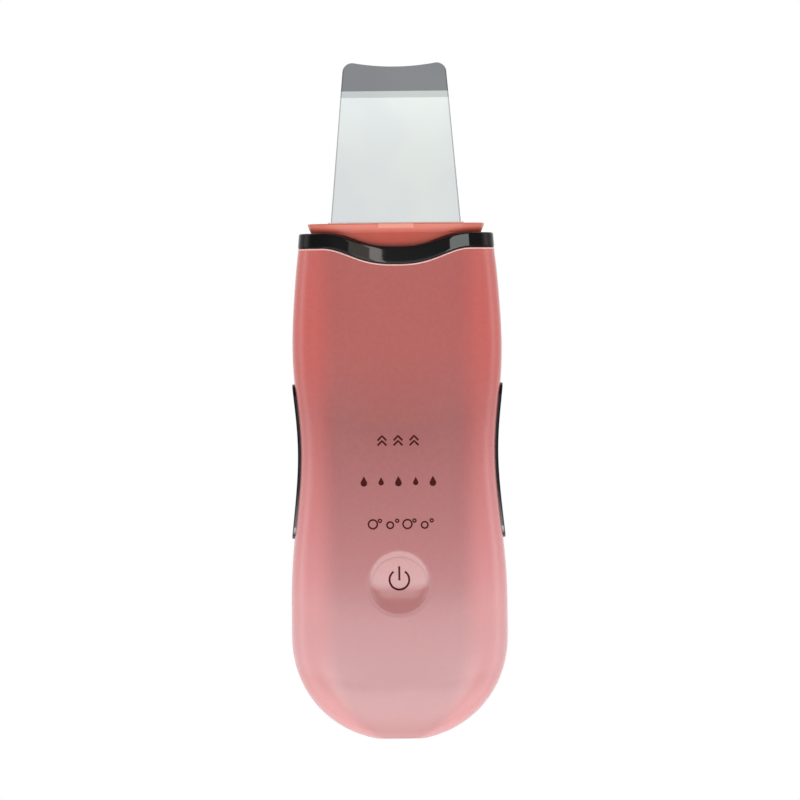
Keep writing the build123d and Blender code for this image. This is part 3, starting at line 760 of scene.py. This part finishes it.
# ---------------------------------------------------------------------------------------------
# Printed marks: thin ink shapes laid on the front face and on the button's dish
# ---------------------------------------------------------------------------------------------
INK_PROUD, INK_SUNK = 0.022, 0.03
POWER_Z, POWER_R, POWER_STROKE = 39.75, 2.45, 0.25
POWER_OPEN = 35.0                       # half of the ring's opening, in degrees
POWER_BAR_Z = (39.6, 43.1)
LIFT_Z, LIFT_PITCH, LIFT_APART = 74.4, 4.0, 0.62
CHEVRON_W, CHEVRON_H, CHEVRON_STROKE = 2.2, 1.15, 0.23
MOISTURE_Z, MOISTURE_PITCH = 64.3, 4.3
DROP_TALL, DROP_SHORT = 2.6, 2.1
CLEANSE_Z, CLEANSE_PITCH = 53.6, 4.3
BUBBLE_BIG_R, BUBBLE_SMALL_R, BUBBLE_STROKE, BUBBLE_DROP = 1.10, 0.80, 0.20, 0.25
FOAM_R, FOAM_STROKE, FOAM_RIGHT, FOAM_UP = 0.38, 0.17, 1.75, 0.85


class Ink:
    """Collects flat shapes in x, z and lays them on a surface."""

    def __init__(self, surface):
        self.surface = surface
        self.verts = []
        self.faces = []

    def ribbon(self, centre, half):
        """A stroke of constant width along a list of (x, z) points."""
        n = len(centre)
        base = len(self.verts)
        for i, (x, z) in enumerate(centre):
            a = centre[max(0, i - 1)]
            b = centre[min(n - 1, i + 1)]
            dx, dz = b[0] - a[0], b[1] - a[1]
            length = math.hypot(dx, dz)
            px, pz = -dz / length * half, dx / length * half
            for sx, sz in ((x + px, z + pz), (x - px, z - pz)):
                self.point(sx, sz)
        for i in range(n - 1):
            k = base + 4 * i
            self.slab(k, k + 4, k + 6, k + 2)
        self.cap(base, base + 2)
        self.cap(base + 4 * (n - 1) + 2, base + 4 * (n - 1))

    def fill(self, outline, centre):
        """A filled shape, as wedges round its centre."""
        base = len(self.verts)
        self.point(*centre)
        for x, z in outline:
            self.point(x, z)
        n = len(outline)
        for i in range(n):
            a = base + 2 + 2 * i
            b = base + 2 + 2 * ((i + 1) % n)
            self.faces.append((base, a, b))
            self.faces.append((base + 1, b + 1, a + 1))
            self.faces.append((a, a + 1, b + 1, b))

    def point(self, x, z):
        y = self.surface(x, z)
        self.verts.append((x * MM, (y - INK_PROUD) * MM, z * MM))
        self.verts.append((x * MM, (y + INK_SUNK) * MM, z * MM))

    def slab(self, a, b, c, d):
        self.faces.append((a, b, c, d))
        self.faces.append((a + 1, d + 1, c + 1, b + 1))
        self.faces.append((a, a + 1, b + 1, b))
        self.faces.append((d, c, c + 1, d + 1))

    def cap(self, a, d):
        self.faces.append((a, d, d + 1, a + 1))

    def make(self, name, body):
        obj = new_object(name, self.verts, self.faces, "legend_ink")
        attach(obj, body)


def arc(cx, cz, r, start, end, count):
    """Points on an arc, in degrees clockwise from the top."""
    pts = []
    for i in range(count):
        t = math.radians(start + (end - start) * i / (count - 1))
        pts.append((cx + r * math.sin(t), cz + r * math.cos(t)))
    return pts


def straight(x0, z0, x1, z1, count=6):
    return [(x0 + (x1 - x0) * i / (count - 1), z0 + (z1 - z0) * i / (count - 1)) for i in range(count)]


def chevron(ink, cx, cz):
    low, high = cz - CHEVRON_H / 2, cz + CHEVRON_H / 2
    rising = straight(cx - CHEVRON_W / 2, low, cx, high)
    falling = straight(cx, high, cx + CHEVRON_W / 2, low)
    ink.ribbon(rising + falling[1:], CHEVRON_STROKE)


def drop(ink, cx, cz, h):
    r = h * 0.32
    low = cz - h / 2 + r
    ink.fill([(cx, cz + h / 2)] + arc(cx, low, r, 58.0, 302.0, 15), (cx, low))


def ring(ink, cx, cz, r, stroke):
    ink.ribbon(arc(cx, cz, r, 0.0, 360.0, 33), stroke)


power = Ink(dish_y)
power.ribbon(arc(0.0, POWER_Z, POWER_R, POWER_OPEN, 360.0 - POWER_OPEN, 49), POWER_STROKE)
power.ribbon(straight(0.0, POWER_BAR_Z[0], 0.0, POWER_BAR_Z[1]), POWER_STROKE)
power.make("power_mark", "button")

row = Ink(front_y)
for i in (-1, 0, 1):
    for dz in (-LIFT_APART, LIFT_APART):
        chevron(row, LIFT_PITCH * i, LIFT_Z + dz)
row.make("legend_lift", "housing")

row = Ink(front_y)
for i in range(5):
    drop(row, (i - 2) * MOISTURE_PITCH, MOISTURE_Z, DROP_SHORT if i % 2 else DROP_TALL)
row.make("legend_moisture", "housing")

row = Ink(front_y)
for i in range(4):
    cx = (i - 1.5) * CLEANSE_PITCH
    if i % 2:
        ring(row, cx, CLEANSE_Z - BUBBLE_DROP, BUBBLE_SMALL_R, BUBBLE_STROKE)
    else:
        ring(row, cx, CLEANSE_Z, BUBBLE_BIG_R, BUBBLE_STROKE)
    ring(row, cx + FOAM_RIGHT, CLEANSE_Z + FOAM_UP, FOAM_R, FOAM_STROKE)
row.make("legend_cleanse", "housing")

# ---------------------------------------------------------------------------------------------
# Surroundings: plain white to the camera. In reflections and as light they are bright below and beside the
# object, dim above it and soft behind it. Angles are in degrees: across is measured from the front, up from
# the horizon. A rise or a fall runs between its two values.
# ---------------------------------------------------------------------------------------------
# elevation, brightness of the field in front of the object
FIELD_GLOW = [(-90, 0.6), (-55, 2.0), (-32, 2.9), (-12, 3.25), (-9, 2.4), (-6, 1.5), (-3, 1.15), (0, 1.15),
              (1.7, 0.85), (2.3, 0.45), (3, 0.30), (4, 0.2), (7, 0.1), (90, 0.1)]
TOP_GLOW = 5.0                          # brightness that the glow ramp's white stands for
FIELD_EDGE_HIGH = (14, 27)              # the field falls off here above the horizon
FIELD_EDGE_LOW = (24, 42)               # and here below it
FIELD_EDGE_UP = (-0.15, -0.06)          # sines of the elevations between the two
WALL_RISE, WALL_DIM, WALL_FALL = (54, 78), (80, 94), (100, 118)
WALL_GLOW, WALL_DIMMED = 1.45, 0.42
WALL_END_UP = (0.6, 0.95)               # sines of the elevations where the walls end, above and below
WALL_SHADE_UP, WALL_SHADE = (-0.14, 0.16), (0.7, 1.3)       # the walls are brighter above the horizon
FLANK_RISE, FLANK_FALL = (33, 46), (56, 74)
FLANK_END_UP, FLANK_GLOW = (-0.60, -0.16), 0.6
REAR_RISE, REAR_UP, REAR_GLOW = (95, 125), (-0.6, 0.8), (0.7, 1.15)
AMBIENT = 0.15
LIFT_RISE_UP, LIFT_FALL = (0.62, 0.80), (40, 80)
LIFT_GLOW = (0.131, 0.128, 0.150)       # red, green, blue


def height_stop(elevation, brightness):
    grey = brightness / TOP_GLOW
    return ((math.sin(elevation * DEG) + 1.0) / 2.0, (grey, grey, grey, 1.0))


def studio_light(w):
    """Red, green and blue of the surroundings by direction."""
    dx, dy, up = w.xyz(w.add("ShaderNodeTexCoord").outputs["Generated"])
    across = w.math("ABSOLUTE", w.math("ARCTAN2", dx, w.times(dy, -1.0)))

    def rises(edge):
        return w.step(across, edge[0] * DEG, edge[1] * DEG)

    def falls(edge):
        return w.fall(across, edge[0] * DEG, edge[1] * DEG)

    glow = w.ramp(w.span(up, -1.0, 1.0), [height_stop(e, g) for e, g in FIELD_GLOW])
    low = w.fall(up, *FIELD_EDGE_UP)
    edge = [w.span(low, 0.0, 1.0, high_at * DEG, low_at * DEG)
            for high_at, low_at in zip(FIELD_EDGE_HIGH, FIELD_EDGE_LOW)]
    level = w.times(w.times(glow, TOP_GLOW), w.fall(across, *edge))

    walls = w.times(rises(WALL_RISE), w.span(rises(WALL_DIM), 0.0, 1.0, 1.0, WALL_DIMMED))
    walls = w.times(walls, falls(WALL_FALL))
    shade = w.span(w.step(up, *WALL_SHADE_UP), 0.0, 1.0, *WALL_SHADE)
    shade = w.times(w.fall(w.math("ABSOLUTE", up), *WALL_END_UP), shade)
    level = w.plus(level, w.times(w.times(walls, shade), WALL_GLOW))

    flank = w.times(rises(FLANK_RISE), falls(FLANK_FALL))
    flank = w.times(flank, w.fall(up, *FLANK_END_UP))
    level = w.plus(level, w.times(flank, FLANK_GLOW))

    rear = w.times(rises(REAR_RISE), w.span(up, *REAR_UP, *REAR_GLOW))
    level = w.plus(w.plus(level, rear), AMBIENT)
    lift = w.times(w.step(up, *LIFT_RISE_UP), falls(LIFT_FALL))
    return [w.plus(level, w.times(lift, share)) for share in LIFT_GLOW]


world = bpy.data.worlds.new("studio")
bpy.context.scene.world = world
world.use_nodes = True
studio = Net(world.node_tree)
color = studio.add("ShaderNodeCombineColor")
for socket, channel in zip(color.inputs, studio_light(studio)):
    studio.put(socket, channel)
light = studio.add("ShaderNodeBackground")
studio.put(light.inputs[0], color.outputs[0])
seen = studio.add("ShaderNodeBackground")
seen.inputs[0].default_value = (1.0, 1.0, 1.0, 1.0)
chooser = studio.add("ShaderNodeMixShader")
studio.put(chooser.inputs[0], studio.add("ShaderNodeLightPath").outputs["Is Camera Ray"])
studio.put(chooser.inputs[1], light.outputs[0])
studio.put(chooser.inputs[2], seen.outputs[0])
studio.put(studio.add("ShaderNodeOutputWorld").inputs[0], chooser.outputs[0])

# ---------------------------------------------------------------------------------------------
# Cards that only the polished pieces mirror: one for the blade, one for its seal and three for the band
# ---------------------------------------------------------------------------------------------
CARD_DISTANCE, CARD_HEIGHT = 1.5, 0.13          # metres from the axis, and up to the neck


def card(name, az, el, glow, tint, receivers):
    """A lit rectangle spanning az and el (degrees, from the neck), facing the object."""
    x0, x1 = (CARD_DISTANCE * math.tan(a * DEG) for a in az)
    z0, z1 = (CARD_HEIGHT + CARD_DISTANCE * math.tan(e * DEG) for e in el)
    data = bpy.data.lights.new(name, "AREA")
    data.shape = "RECTANGLE"
    data.size, data.size_y = x1 - x0, z1 - z0
    data.energy = glow * math.pi * data.size * data.size_y
    data.color = tint
    obj = bpy.data.objects.new(name, data)
    obj.location = ((x0 + x1) / 2.0, -CARD_DISTANCE, (z0 + z1) / 2.0)
    obj.rotation_euler = (90.0 * DEG, 0.0, 0.0)
    obj.visible_camera = False
    bpy.context.scene.collection.objects.link(obj)
    group = bpy.data.collections.new(name + "_receivers")
    for piece in receivers:
        group.objects.link(piece)
    obj.light_linking.receiver_collection = group


card("blade_card", (-18.0, 18.0), (2.6, 47.0), 0.68, (0.97, 1.0, 0.985), [nodes["spatula_blade"]])
card("seal_card", (-25.0, 25.0), (4.0, 60.0), 2.0, (1.0, 0.94, 0.92), [nodes["blade_seal"]])
card("band_card_left", (-2.7, -0.8), (-8.0, 14.0), 9.5, (1.0, 0.93, 0.88), [band])
card("band_card_far_left", (-9.5, -2.7), (-8.0, 14.0), 2.4, (1.0, 0.86, 0.76), [band])
card("band_card_right", (12.8, 30.0), (-8.0, 14.0), 9.0, (0.97, 1.0, 1.0), [band])

# ---------------------------------------------------------------------------------------------
# Camera: level, straight in front, rolled a little
# ---------------------------------------------------------------------------------------------
CAMERA_AT = (0.0006, -2.5, 0.0845)
CAMERA_ROLL = 0.57

cam_data = bpy.data.cameras.new("camera")
cam_data.lens = 450.0
cam_data.sensor_width = 36.0
cam_data.clip_start = 0.05
cam_data.clip_end = 20.0
cam = bpy.data.objects.new("camera", cam_data)
bpy.context.scene.collection.objects.link(cam)
cam.location = CAMERA_AT
cam.rotation_euler = (90.0 * DEG, CAMERA_ROLL * DEG, 0.0)
bpy.context.scene.camera = cam
view = bpy.context.scene.view_settings
view.view_transform = "Standard"
view.look = "None"
view.exposure = 0.0
view.gamma = 1.0
